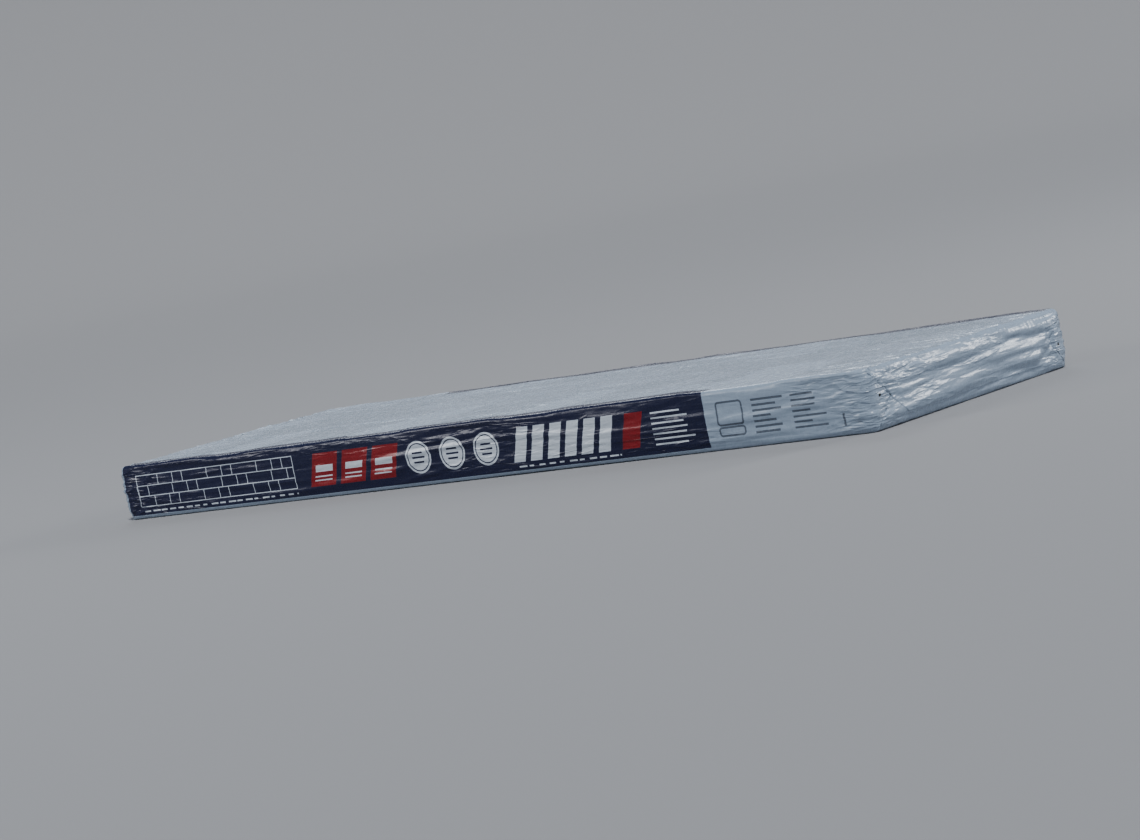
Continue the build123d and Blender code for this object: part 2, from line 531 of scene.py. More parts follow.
@dataclass
class Wrapper:
    """The printed film round the stack: sleeve, lap seam and end flaps, in one sheet."""

    shape: SleeveShape
    seam_width: float = 35.0  # how far the sheet's two long edges overlap under the bundle
    flap_reach: float = 48.7  # how far each end flap comes over the end
    ply: float = 0.28  # how far a flap stands off the film under it
    over_floor: float = 0.15  # least height of a flap over the floor
    curl: float = 2.2  # distance over which a flap's side curls down to the film under it
    merge: float = 14.0  # distance over which a stretch of film takes up the relief of the one beside it
    side_belly: float = 0.9  # how far a long side bulges at mid height
    end_belly: float = 2.2  # how far an end bulges there
    loose_end: float = 90.0  # how far in from an end the film is loose
    loose_edge: float = 45.0  # how far in from a long edge it is loose
    gathered: float = 65.0  # how far in from an upright edge an end's film is gathered
    sink: float = 1.15  # how far the film sinks into a slot of the uppermost shingle
    slot_floor: float = 2.2  # how far the slot's floor is from the film there
    pressed: float = 0.85  # share of the relief that the stack's weight takes away on the underside
    seed: int = 11  # picks the creases

    def __post_init__(self) -> None:
        """Scatters the creases."""
        self.sleeve, self.ends = self._sleeve_creases(), self._end_creases()

    def _sleeve_creases(self) -> CreaseSet:
        """The creases of the sleeve, which run on into the flaps.

        Returns:
            The creases.
        """
        s, made = self.shape, CreaseSet(np.random.default_rng(self.seed))
        edge = s.straight + s.quarter / 2
        sides = (s.middle[Panel.FRONT], s.middle[Panel.BACK])
        top = (sides[0] + s.flat_z / 2, sides[1] - s.flat_z / 2)
        made.scatter(Crease.TOP_LONG, (-420, 420), top)
        made.scatter(Crease.TOP_EDGE, (-450, 450), (top[0] - 2, top[0] + 22))
        made.scatter(Crease.TOP_EDGE, (-450, 450), (top[1] - 22, top[1] + 2))
        for side in sides:
            made.scatter(Crease.SIDE_UPRIGHT, (-490, 490), (side - 24, side + 30))
            made.scatter(Crease.SIDE_LEVEL, (-470, 470), (side - 20, side + 24))
            made.scatter(Crease.SIDE_BROAD, (-470, 470), (side - 18, side + 22))
        for end in (-1, 1):
            made.scatter(Crease.END_OF_TOP, (edge - 50, edge + 6), top, end)
            made.scatter(Crease.END_ALL_ROUND, (edge - 40, edge + 4), (0, s.round_trip), end)
            for side in sides:
                made.scatter(Crease.END_OF_SIDE, (edge - 35, edge + 8), (side - 24, side + 24), end)
        return made

    def _end_creases(self) -> CreaseSet:
        """The creases that only the folded ends have.

        A few broad soft folds lie level across each flap, short fine ones lie level near the
        upright edges, where the film is gathered, and a few slant in from the mitred folds.

        Returns:
            The creases.
        """
        s, made = self.shape, CreaseSet(np.random.default_rng(self.seed + 1))
        start = s.end_start
        for end in (-1, 1):
            for panel in (Panel.TOP, Panel.UNDERSIDE):
                middle = s.middle[panel]
                across = (middle - 150, middle + 150)
                made.scatter(Crease.FLAP_BROAD, (start + 2, start + 42), across, end)
                made.scatter(Crease.FLAP_LEVEL, (start, start + 42), across, end)
                made.scatter(Crease.FLAP_FINE, (start, start + 46), across, end)
                made.scatter(Crease.FLAP_SLANTED, (start, start + 40), across, end)
                for edge in (-1, 1):
                    gathered = (middle + edge * 112, middle + edge * 166)
                    made.scatter(Crease.FLAP_GATHERED, (start, start + 46), gathered, end)
            for panel in (Panel.FRONT, Panel.BACK):
                upright = (s.middle[panel] - 26, s.middle[panel] + 26)
                made.scatter(Crease.TUCK_GATHERED, (start - 12, start + 24), upright, end)
                made.scatter(Crease.TUCK_SLANTED, (start, start + 20), upright, end)
        return made

    def swell(self, patch: SheetPatch) -> np.ndarray:
        """The slow part of how far the film stands off: a belly on the upright faces, and low waves.

        The belly is 1 less the square of the height over mid height, to the power 0.8. Along the
        two long top edges the film stands off unevenly.

        Args:
            patch: a stretch of the smooth shape.

        Returns:
            The distance at each point.
        """
        s, points = self.shape, patch.points
        level = (points[..., 2] - s.mid_z) / s.half_z
        belly = np.clip(1 - level**2, 0, 1) ** 0.8
        slow, quick = SmoothNoise(110, 3).at(points), SmoothNoise(30, 5).at(points)
        end, side = self._facing(patch)
        edge = 4 * (patch.normals[..., 1] * patch.normals[..., 2]) ** 2 * (points[..., 2] > s.mid_z)
        uneven = np.clip(0.7 + 1.5 * SmoothNoise(75, 6).at(points), 0, 2.2)
        low = 0.3 + 0.25 * slow + 0.15 * quick + edge * uneven
        return low + belly * (side * (self.side_belly + 0.5 * slow) + end * (self.end_belly + 0.9 * slow))

    def crumple(self, patch: SheetPatch) -> np.ndarray:
        """The facets that cover the film, with their grain along the bundle, or across it on the ends.

        They are higher near the ends and near the long edges, where the film is loose.

        Args:
            patch: a stretch of the smooth shape.

        Returns:
            The distance at each point.
        """
        s, points = self.shape, patch.points
        end, side = self._facing(patch)
        from_side = s.half_y - abs(points[..., 1])
        near_end = 1 - rising(s.half_x - abs(points[..., 0]), self.loose_end)
        near_edge = 1 - rising(from_side, self.loose_edge)
        gathered = 1 - rising(from_side, self.gathered)
        patchy = 0.65 + 0.45 * SmoothNoise(70, 8).at(points)
        large = Facets(95, 27, 1).at(patch.along, patch.around)
        small = Facets(38, 11, 2).at(patch.along, patch.around) * patchy
        folded = Facets(55, 13, 3).at(patch.around, patch.along)
        fine = Facets(21, 6, 4).at(patch.around, patch.along) * patchy
        on_flat = (0.5 + 0.7 * np.maximum(near_end, 0.6 * near_edge)) * large
        on_flat = on_flat + (0.15 + 0.5 * near_end + 0.2 * near_edge) * small
        on_side = (1.0 + 0.5 * near_end) * large + (0.7 + 0.4 * near_end) * small
        on_end = (0.9 + 0.5 * gathered) * folded + (0.12 + 0.9 * gathered) * fine
        return (1 - end) * (1 - side) * on_flat + side * on_side + end * on_end

    @staticmethod
    def _facing(patch: SheetPatch) -> tuple[np.ndarray, np.ndarray]:
        """How much each point faces an end and a long side: 0 up to a slope of 0.35, 1 from 0.85."""
        end, side = (rising(abs(patch.normals[..., axis]) - 0.35, 0.5) for axis in (0, 1))
        return end, side

    def patches(self) -> list[SheetPatch]:
        """Every stretch of the film, creased and in place.

        Returns:
            The skin, the four flaps and the lap ply.
        """
        skin = self._skin()
        made = [skin] + [self._flap(end, hangs_down) for end in (-1, 1) for hangs_down in (False, True)]
        for patch in made:
            lowest = self.shape.rest_height if patch is skin else self.over_floor
            patch.points[..., 2] = np.maximum(patch.points[..., 2], lowest)
        return made + [self.shape.lap(self.seam_width)]

    def _skin(self) -> SheetPatch:
        """The sleeve and its closed ends, creased.

        The film is pressed flat under the stack, sinks a little into the uppermost shingle's slots,
        and loses its creases towards the line on which each end closes, where its halves meet. On
        the mitred folds it has the relief of the tuck beside them.

        Returns:
            The creased patch.
        """
        s = self.shape
        skin = s.skin()
        x, y, z = np.moveaxis(skin.points, -1, 0)
        up = skin.normals[..., 2]
        on_end = abs(skin.normals[..., 0]) > 0.99
        own = np.where(on_end, self._apart(skin), 1) * self._relief_of(skin)
        drop = s.half_z - abs(z - s.mid_z)
        inside = s.half_y - abs(y) - drop
        blend = (inside > 0) * (1 - rising(inside, self.merge)) * rising(drop - s.bend, 6)
        blend = on_end * np.where(abs(inside) < 1e-3, 1, blend)
        own = own + blend * (self._tuck_relief(skin, np.sign(x)) - own)
        lift = self.swell(skin) + own
        lift = np.where(up > 0.7, np.maximum(lift, 0.1), lift)
        hollow = TopShingle().hollow(x, y) * np.clip(up, 0, 1)
        lift = (lift - self.sink * hollow) * (1 - self.pressed * np.clip(-up, 0, 1))
        lift = np.maximum(lift, self._clearance(skin))
        skin.raised(lift)
        skin.lift = lift + self.slot_floor * hollow
        return skin

    def _flap(self, end: int, hangs_down: bool) -> SheetPatch:
        """One flap, creased, lying on the tucks, and the upper one on the lower one too.

        Near its folded sides it follows the tuck under it, and near its sealed tip the flap under it.

        Args:
            end: +1 or -1, the end that it closes.
            hangs_down: True for the flap from the top.

        Returns:
            The creased patch.
        """
        s = self.shape
        patch = s.flap(end, hangs_down, self.flap_reach)
        y, down = patch.points[..., 1], np.clip(-patch.normals[..., 2], 0, 1)
        past = abs(patch.along) - s.straight
        drop = np.maximum(past - s.quarter, 0) + s.bend
        room = s.half_y - np.maximum(s.mitre_start, drop) - abs(y) - s.waver(end, drop, y)
        rounded = np.sqrt(np.clip(1 - (1 - rising(room, self.curl)) ** 2, 0, 1))
        begin = rising(past + 3, 6)
        swell = self.swell(patch)
        own = self._relief_of(patch, rising(past, 5))
        near_side = (1 - rising(room, self.merge)) * rising(past - s.quarter, 6)
        own = own + (self._tuck_relief(patch, end) - own) * near_side
        lift = swell + own + self.ply * begin * (1.7 * rounded - 0.7) - 0.3 * (1 - begin)
        lift = np.maximum(lift * (1 - self.pressed * down), (self._clearance(patch) + 0.2) * begin)
        if not hangs_down:
            return patch.raised(np.where(down > 0.99, 0.05, lift))
        from_foot = 2 * s.half_z - drop
        along = end * (s.end_start - s.bend + from_foot)
        beneath = SheetPatch(patch.points, patch.normals, along, s.middle[Panel.UNDERSIDE] - y)
        lower = swell + self._relief_of(beneath) + self.ply * (0.9 + 1.1 * rounded)
        covered = rising(self.flap_reach - from_foot, 2) * (abs(y) < s.half_y - from_foot + 1)
        lift = np.where(covered > 0, np.maximum(lift, lower * covered), lift)
        over_lower = lower + 0.25 * (1 + SmoothNoise(24, 9).at(patch.points))
        before_tip = rising(self.flap_reach - drop, 7)
        return patch.raised(np.where(past > 20, over_lower + (lift - over_lower) * before_tip, lift))

    def _relief_of(self, patch: SheetPatch, own: np.ndarray | float = 1.0) -> np.ndarray:
        """Facets and creases of a patch together. Over an end the sleeve's creases fade to a fifth.

        Args:
            patch: the stretch of film.
            own: how much of the ends' creases shows at each point.

        Returns:
            The relief at each point.
        """
        past = abs(patch.along) - self.shape.end_start
        fade = 1 - 0.8 * rising(past, self.merge)
        creases = fade * self.sleeve.height(patch.along, patch.around)
        return self.crumple(patch) + creases + own * self.ends.height(patch.along, patch.around)

    def _tuck_relief(self, patch: SheetPatch, end: int | np.ndarray) -> np.ndarray:
        """The relief that the side's tucked film has at each point of an end.

        Args:
            patch: a flap, or the film under it.
            end: +1 or -1, the end that it closes, for the whole patch or for each point.

        Returns:
            The relief at each point.
        """
        s = self.shape
        y, level = patch.points[..., 1], patch.points[..., 2] - s.mid_z
        along = end * (s.half_x + (math.pi / 2 - 2) * s.upright_bend + s.half_y - abs(y))
        around = np.where(y < 0, s.middle[Panel.FRONT] + level, s.middle[Panel.BACK] - level)
        film = SheetPatch(patch.points, patch.normals, along, around)
        return self._apart(film) * self._relief_of(film)

    @staticmethod
    def _clearance(patch: SheetPatch) -> np.ndarray:
        """The least that the film stands off: 0.7 halfway round a level edge, -0.5 on upright faces."""
        slope = patch.normals[..., 2] ** 2
        return 2.8 * slope * (1 - slope) - 0.5 * (slope < 1e-4)

    def _apart(self, patch: SheetPatch) -> np.ndarray:
        """The share of its relief that an end keeps: none on the line on which it closes."""
        s, y, level = self.shape, abs(patch.points[..., 1]), abs(patch.points[..., 2] - self.shape.mid_z)
        return rising(np.maximum(s.half_z - s.half_y + y, level), s.half_z / 3)

    def build(self) -> bpy.types.Object:
        """Makes the film's mesh with its print coordinates, and its lift as an attribute.

        Returns:
            The wrapper's object.
        """
        points, faces, prints, lifts, first = [], [], [], [], 0
        for patch in self.patches():
            quads = grid_faces(*patch.along.shape, patch.closed)
            points.append(patch.points.reshape(-1, 3) * MM)
            faces.append(quads + first)
            prints.append(self._print_coordinates(patch, quads).reshape(-1) * MM)
            lifts.append(patch.lift.reshape(-1))
            first += patch.along.size
        mesh = bpy.data.meshes.new("wrapper")
        mesh.from_pydata(np.concatenate(points), [], np.concatenate(faces))
        mesh.uv_layers.new(name="print").data.foreach_set("uv", np.concatenate(prints).astype(np.float32))
        lift = mesh.attributes.new("lift", "FLOAT", "POINT")
        lift.data.foreach_set("value", np.concatenate(lifts).astype(np.float32))
        work = bmesh.new()
        work.from_mesh(mesh)
        bmesh.ops.remove_doubles(work, verts=work.verts, dist=SAME_POINT)
        bmesh.ops.dissolve_degenerate(work, edges=work.edges, dist=NO_LENGTH)
        work.to_mesh(mesh)
        work.free()
        mesh.shade_smooth()
        return add_object("wrapper", mesh)

    def dress(self, wrapper: bpy.types.Object) -> None:
        """Gives the wrapper the printed film's finish."""
        wrapper.data.materials.append(FilmFinish(self.shape).material())

    def _print_coordinates(self, patch: SheetPatch, quads: np.ndarray) -> np.ndarray:
        """The print's two coordinates for each corner of each face, as seen by someone who reads it.

        The first runs from left to right along the long side that the face belongs to. The second
        is 0 where the film leaves the underside and grows up the side and over the top. Both are
        worked out for the face's own half of the bundle, so no face mixes the two halves.

        Args:
            patch: the stretch of film.
            quads: its faces as four point numbers each.

        Returns:
            Two values for each face corner.
        """
        s = self.shape
        along, around = patch.along.reshape(-1)[quads], patch.around.reshape(-1)[quads]
        if patch.closed:
            seam = np.ptp(around, axis=1, keepdims=True) > s.round_trip / 2
            around = around + s.round_trip * (seam & (around < s.round_trip / 2))
        back = around.mean(axis=1, keepdims=True) > s.round_trip / 2
        left_to_right = s.half_x + np.where(back, -along, along)
        return vectors(left_to_right, np.where(back, s.round_trip - around, around) - s.foot)


def math_method(operation: str, reflected: bool = False) -> Callable[..., "Value"]:
    """Makes a method of Value that adds one Math node.

    Args:
        operation: what the node works out.
        reflected: whether the value itself comes last.

    Returns:
        The method.
    """

    def method(value: "Value", *others: "Value | float") -> "Value":
        """The operation's result for this value and the others."""
        inputs = (*others, value) if reflected else (value, *others)
        return value.graph.value("ShaderNodeMath", {"operation": operation}, dict(enumerate(inputs)))

    return method


class Value:
    """A shader socket that Python's arithmetic turns into Math nodes."""

    def __init__(self, graph: "ShaderGraph", socket: Socket) -> None:
        """Wraps an output socket of the graph."""
        self.graph = graph
        self.socket = socket

    __add__ = __radd__ = math_method("ADD")
    __sub__ = math_method("SUBTRACT")
    __rsub__ = math_method("SUBTRACT", reflected=True)
    __mul__ = __rmul__ = math_method("MULTIPLY")
    __truediv__ = math_method("DIVIDE")
    __rtruediv__ = math_method("DIVIDE", reflected=True)
    __mod__ = math_method("FLOORED_MODULO")
    __rmod__ = math_method("FLOORED_MODULO", reflected=True)
    __pow__ = math_method("POWER")
    __rpow__ = math_method("POWER", reflected=True)
    __gt__ = math_method("GREATER_THAN")
    __lt__ = math_method("LESS_THAN")
    __abs__ = math_method("ABSOLUTE")
    whole = math_method("FLOOR")
    sine = math_method("SINE")
    root = math_method("SQRT")
    at_least = math_method("MAXIMUM")
    at_most = math_method("MINIMUM")

    def between(self, low: float, high: float) -> "Value":
        """1 from low to high, and 0 elsewhere."""
        return (self > low) * (self < high)

    def spread(self, low: float, high: float) -> "Value":
        """0 on low's side, 1 on high's side, and smooth between them."""
        inputs = {"Value": self, "From Min": low, "From Max": high}
        return self.graph.value("ShaderNodeMapRange", {"interpolation_type": "SMOOTHSTEP"}, inputs, "Result")


def any_of(*masks: Value) -> Value:
    """1 where any of the masks is 1."""
    return reduce(Value.at_least, masks)


def distance(across: Value, above: Value) -> Value:
    """How far a point is from a centre: the root of the sum of both offsets' squares."""
    return (across * across + above * above).root()


class ShaderGraph:
    """The node tree of one material."""

    def __init__(self, name: str) -> None:
        """Starts an empty material with its output node.

        Args:
            name: of the material.
        """
        self.material = bpy.data.materials.new(name)
        self.material.use_nodes = True
        self.tree = self.material.node_tree
        self.tree.nodes.clear()
        self.output = self.node("ShaderNodeOutputMaterial", {}, {})

    def node(self, kind: str, settings: dict, inputs: dict) -> bpy.types.Node:
        """Adds a node, with its settings first and its sockets after.

        Args:
            kind: the node's type.
            settings: its properties by name.
            inputs: socket name or number to a Value, a socket or a constant.

        Returns:
            The node.
        """
        made = self.tree.nodes.new(kind)
        for name, value in settings.items():
            setattr(made, name, value)
        for name, value in inputs.items():
            source = value.socket if isinstance(value, Value) else value
            if isinstance(source, Socket):
                self.tree.links.new(source, made.inputs[name])
            else:
                made.inputs[name].default_value = source
        return made

    def value(self, kind: str, settings: dict, inputs: dict, output: str | int = 0) -> Value:
        """Adds a node and takes one of its outputs as a value."""
        return Value(self, self.node(kind, settings, inputs).outputs[output])

    def place(self) -> Socket:
        """The point's own place on the object, in metres."""
        return self.node("ShaderNodeTexCoord", {}, {}).outputs["Object"]

    def split(self, vector: Socket) -> list[Value]:
        """A vector's three components."""
        return [Value(self, part) for part in self.node("ShaderNodeSeparateXYZ", {}, {0: vector}).outputs]

    def stretched(self, vector: Socket, scale: tuple[float, float, float]) -> Socket:
        """The vector times a scale for each axis."""
        return self.node("ShaderNodeVectorMath", {"operation": "MULTIPLY"}, {0: vector, 1: scale}).outputs[0]

    def noise(
        self, vector: Socket, scale: float, detail: float = 2.0, roughness: float = 0.5, warp: float = 0.0
    ) -> Value:
        """Noise from 0 to 1 at a scale in repeats a metre."""
        return self.value(
            "ShaderNodeTexNoise",
            {},
            {"Vector": vector, "Scale": scale, "Detail": detail, "Roughness": roughness, "Distortion": warp},
        )

    def cells(self, vector: Socket, scale: float, feature: str = "F1") -> bpy.types.NodeOutputs:
        """Scattered cells, at a scale in repeats a metre, with a random colour for each."""
        inputs = {"Vector": vector, "Scale": scale}
        return self.node("ShaderNodeTexVoronoi", {"feature": feature}, inputs).outputs

    def facets(self, vector: Socket, scale: float) -> Value:
        """The crumple of thin film: flat facets that rise from the borders of scattered cells."""
        return Value(self, self.cells(vector, scale, "DISTANCE_TO_EDGE")["Distance"])

    def chance(self, number: Value, seed: float) -> Value:
        """A random value from 0 to 1 for each whole number."""
        return self.value("ShaderNodeTexWhiteNoise", {"noise_dimensions": "1D"}, {"W": number + seed})

    def choose(self, share: Value, first: Socket, second: Socket) -> Socket:
        """The first vector where the share is 0, and the second where it is 1."""
        return self.node("ShaderNodeMix", {"data_type": "VECTOR"}, {0: share, 4: first, 5: second}).outputs[1]

    def blend(self, share: Value | float, first: Colour | Socket, second: Colour | Socket) -> Socket:
        """The first colour where the share is 0, the second where it is 1, and a mixture between."""
        return self.node("ShaderNodeMix", {"data_type": "RGBA"}, {0: share, 6: first, 7: second}).outputs[2]

    def bump(self, height: Value, depth: float, strength: float = 1.0) -> Socket:
        """A normal from a height of 0 to 1 that stands for a real depth in metres."""
        inputs = {"Height": height, "Distance": depth, "Strength": strength}
        return self.node("ShaderNodeBump", {}, inputs).outputs["Normal"]

    def surface(self, **inputs: object) -> bpy.types.Material:
        """Ends the graph in one Principled shader.

        Args:
            **inputs: its sockets, with spaces in their names as underscores.

        Returns:
            The finished material.
        """
        named = {name.replace("_", " "): value for name, value in inputs.items()}
        shader = self.node("ShaderNodeBsdfPrincipled", {}, named)
        self.tree.links.new(shader.outputs[0], self.output.inputs["Surface"])
        return self.material


@dataclass(frozen=True)
class Inks:
    """Colours of the film and of what is printed on it. The film's two colours and the white ink are painted
    darker and bluer than white, as painted shade and blue skylight.
    """

    # white film, painted darker and bluer: painted shade and blue skylight in its colour
    film: Colour = (0.345, 0.42, 0.52, 1)
    # the film where the dark stack shows through it, with the same painted shade and blue skylight
    film_on_stack: Colour = (0.19, 0.24, 0.305, 1)
    navy: Colour = (0.012, 0.016, 0.055, 1)
    navy_worn: Colour = (0.05, 0.06, 0.115, 1)
    red: Colour = (0.26, 0.018, 0.024, 1)
    # white ink, painted darker and bluer: painted shade and blue skylight in its colour
    white: Colour = (0.62, 0.68, 0.75, 1)
    grey: Colour = (0.075, 0.094, 0.128, 1)
    # near black in the vent holes: the dark stack behind them, and painted shade under the film
    hole_stack_in_shade: Colour = (0.012, 0.013, 0.016, 1)


@dataclass(frozen=True)
class Bars:
    """Leaning bars side by side: where the first one starts, how many, their width and their gap."""

    first: float
    count: int
    width: float
    gap: float


@dataclass(frozen=True)
class Column:
    """A column of thin level bars: its left and right edges, a bar's thickness and a random seed."""

    left: float
    right: float
    thick: float
    seed: float


@dataclass(frozen=True)
class PrintPlan:
    """Where the plain print lies on each long side, from its left end and its foot."""

    band: Edges = (5, 813, 6.5, 76)  # the navy ground
    low: float = 15  # foot of every motif
    high: float = 50  # head of every motif
    line: float = 1.0  # thickness of a drawn line
    courses: Span = (22, 262)  # left and right edge of the drawing of courses
    course_height: float = 11.6  # of each of its three courses
    tab_pitch: float = 38  # from one joint of a course to the next
    lean: float = 0.32  # how far a bar leans for each millimetre of height
    red_bars: Bars = Bars(282, 3, 36, 7)  # the red bars, with rules in them
    # foot and head of each rule over the foot of its bar
    rules: tuple[Span, ...] = ((15, 22), (9.5, 11), (5.5, 7))
    discs: tuple[float, ...] = (440, 486, 532)  # middles of the white discs
    disc_radius: float = 17
    disc_ring: Span = (3.4, 2.2)  # how far the ring's two edges lie inside a disc's rim
    # pitch and thickness of a disc's rules, and how far they reach from its middle
    disc_rules: tuple[float, float, float] = (5.0, 1.9, 6.6)
    white_bars: Bars = Bars(566, 6, 15, 7)  # the white slats
    red_tab: Bars = Bars(706, 1, 22, 6)  # the one red bar after them
    notes: Column = Column(748, 800, 1.7, 5.0)  # the column of bars at the band's end
    # left and right edge and random seed of each row of dashes
    captions: tuple[tuple[float, float, float], ...] = ((24, 262, 3.0), (566, 704, 21.0))
    caption_height: Span = (9.4, 11.1)  # foot and head of every row of dashes
    dash_pitch: float = 13.0  # from one dash to the next
    # the empty boxes, each its middle's two places and its two half sizes
    boxes: tuple[tuple[float, ...], ...] = ((843, 37.5, 15, 11), (843, 20, 15, 4))
    # the columns of bars on the pale film
    columns: tuple[Column, ...] = (Column(870, 908, 2.2, 9.0), Column(916, 958, 2.0, 17.0))
    row_pitch: float = 5.2  # from one bar of a column to the next
    eye_mark: Edges = (972, 974.5, 12, 24)  # the mark near the end


class SidePrint:
    """The plain shapes printed on the film's long sides, as masks in the print's coordinates."""

    def __init__(self, graph: ShaderGraph, plan: PrintPlan) -> None:
        """Reads the print's coordinates.

        Args:
            graph: the film's graph.
            plan: where the shapes lie.
        """
        self.graph = graph
        self.plan = plan
        uv = graph.node("ShaderNodeUVMap", {"uv_map": "print"}, {}).outputs["UV"]
        self.right, self.up = (part / MM for part in graph.split(uv)[:2])
        self.above = self.up - plan.low

    def rectangle(self, left: float, right: float, foot: float, head: float) -> Value:
        """A plain rectangle."""
        return self.right.between(left, right) * self.up.between(foot, head)

    def _across_bars(self, bars: Bars) -> tuple[Value, Value]:
        """Where a point lies across leaning bars.

        Args:
            bars: the bars.

        Returns:
            Whether it lies from the first bar to the last, and its place in its bar and gap.
        """
        pitch = bars.width + bars.gap
        place = self.right - self.above * self.plan.lean - bars.first
        return place.between(0, bars.count * pitch - bars.gap), place % pitch

    def slanted_bars(self, bars: Bars) -> Value:
        """Leaning bars side by side."""
        row, place = self._across_bars(bars)
        return row * self.up.between(self.plan.low, self.plan.high) * (place < bars.width)

    def rules_in_bars(self, bars: Bars) -> Value:
        """One thick and two thin level rules inside each leaning bar, with a margin all round.

        Args:
            bars: the bars.

        Returns:
            The mask.
        """
        row, place = self._across_bars(bars)
        rules = any_of(*(self.above.between(foot, head) for foot, head in self.plan.rules))
        return place.between(bars.width * 0.16, bars.width * 0.84) * row * rules

    def shingle_courses(self) -> Value:
        """A line drawing of staggered courses of tabs.

        Returns:
            The mask.
        """
        plan, (start, end) = self.plan, self.plan.courses
        shift = self.graph.chance((self.above / plan.course_height).whole(), 3.0) * plan.tab_pitch
        tab = (self.right + shift) % plan.tab_pitch
        every_other = ((self.right + shift) % (plan.tab_pitch * 2)) < plan.tab_pitch
        split_tab = (abs(tab - plan.tab_pitch * 0.62) < plan.line * 0.5) * every_other
        sides = (self.right < start + plan.line).at_least(self.right > end - plan.line)
        drawn = any_of((self.above % plan.course_height) < plan.line, tab < plan.line, split_tab, sides)
        inside = self.right.between(start, end) * self.above.between(0, 3 * plan.course_height + plan.line)
        return inside * drawn

    def discs(self) -> Value:
        """White discs, each with a thin ring and three rules of the ground colour in it.

        Returns:
            The mask.
        """
        radius, (outer, inner) = self.plan.disc_radius, self.plan.disc_ring
        pitch, thick, reach = self.plan.disc_rules
        above = self.up - (self.plan.low + self.plan.high) / 2
        level = ((above + 1.1) % pitch < thick) * (abs(above) < reach)
        discs = []
        for centre in self.plan.discs:
            across = self.right - centre
            far = distance(across, above)
            rules = level * (abs(across) < 8.5 - abs(above) * 0.35)
            discs.append((far < radius) * (1 - far.between(radius - outer, radius - inner)) * (1 - rules))
        return any_of(*discs)

    def caption(self, left: float, right: float, seed: float) -> Value:
        """A level row of short dashes of uneven length under a motif, as the seed picks them."""
        pitch, box = self.plan.dash_pitch, self.rectangle(left, right, *self.plan.caption_height)
        return (self.right % pitch < self.graph.chance((self.right / pitch).whole(), seed) * 6 + 5.5) * box

    def bars_of(self, column: Column) -> Value:
        """A column of thin level bars of uneven length, the longest as wide as the column.

        Args:
            column: its edges and its bars.

        Returns:
            The mask.
        """
        plan, left, width = self.plan, column.left, column.right - column.left
        share = self.graph.chance((self.above / plan.row_pitch).whole(), column.seed) * 0.5 + 0.5
        bar = (self.above % plan.row_pitch < column.thick) * (self.right < share * width + left)
        return bar * self.rectangle(left, column.right, plan.low, plan.high)

    def empty_box(self, x: float, y: float, half_x: float, half_y: float, corner: float = 3.0) -> Value:
        """The outline of an empty box with rounded corners.

        Args:
            x: its middle from the left.
            y: its middle from the foot.
            half_x: half its width.
            half_y: half its height.
            corner: the corners' radius.

        Returns:
            The mask.
        """
        across = (abs(self.right - x) - (half_x - corner)).at_least(0)
        above = (abs(self.up - y) - (half_y - corner)).at_least(0)
        return abs(distance(across, above) - corner) < self.plan.line

    def white_shapes(self) -> Value:
        """All shapes in white ink.

        Returns:
            The mask.
        """
        plan = self.plan
        captions = [self.caption(*caption) for caption in plan.captions]
        bars = (self.slanted_bars(plan.white_bars), self.rules_in_bars(plan.red_bars))
        return any_of(self.shingle_courses(), *bars, *captions, self.discs(), self.bars_of(plan.notes))

    def red_shapes(self) -> Value:
        """All shapes in red ink."""
        return any_of(self.slanted_bars(self.plan.red_bars), self.slanted_bars(self.plan.red_tab))

    def grey_shapes(self) -> Value:
        """The empty boxes, the columns of bars and the eye mark on the pale end of the side."""
        boxes = (self.empty_box(*box) for box in self.plan.boxes)
        return any_of(*boxes, *map(self.bars_of, self.plan.columns), self.rectangle(*self.plan.eye_mark))


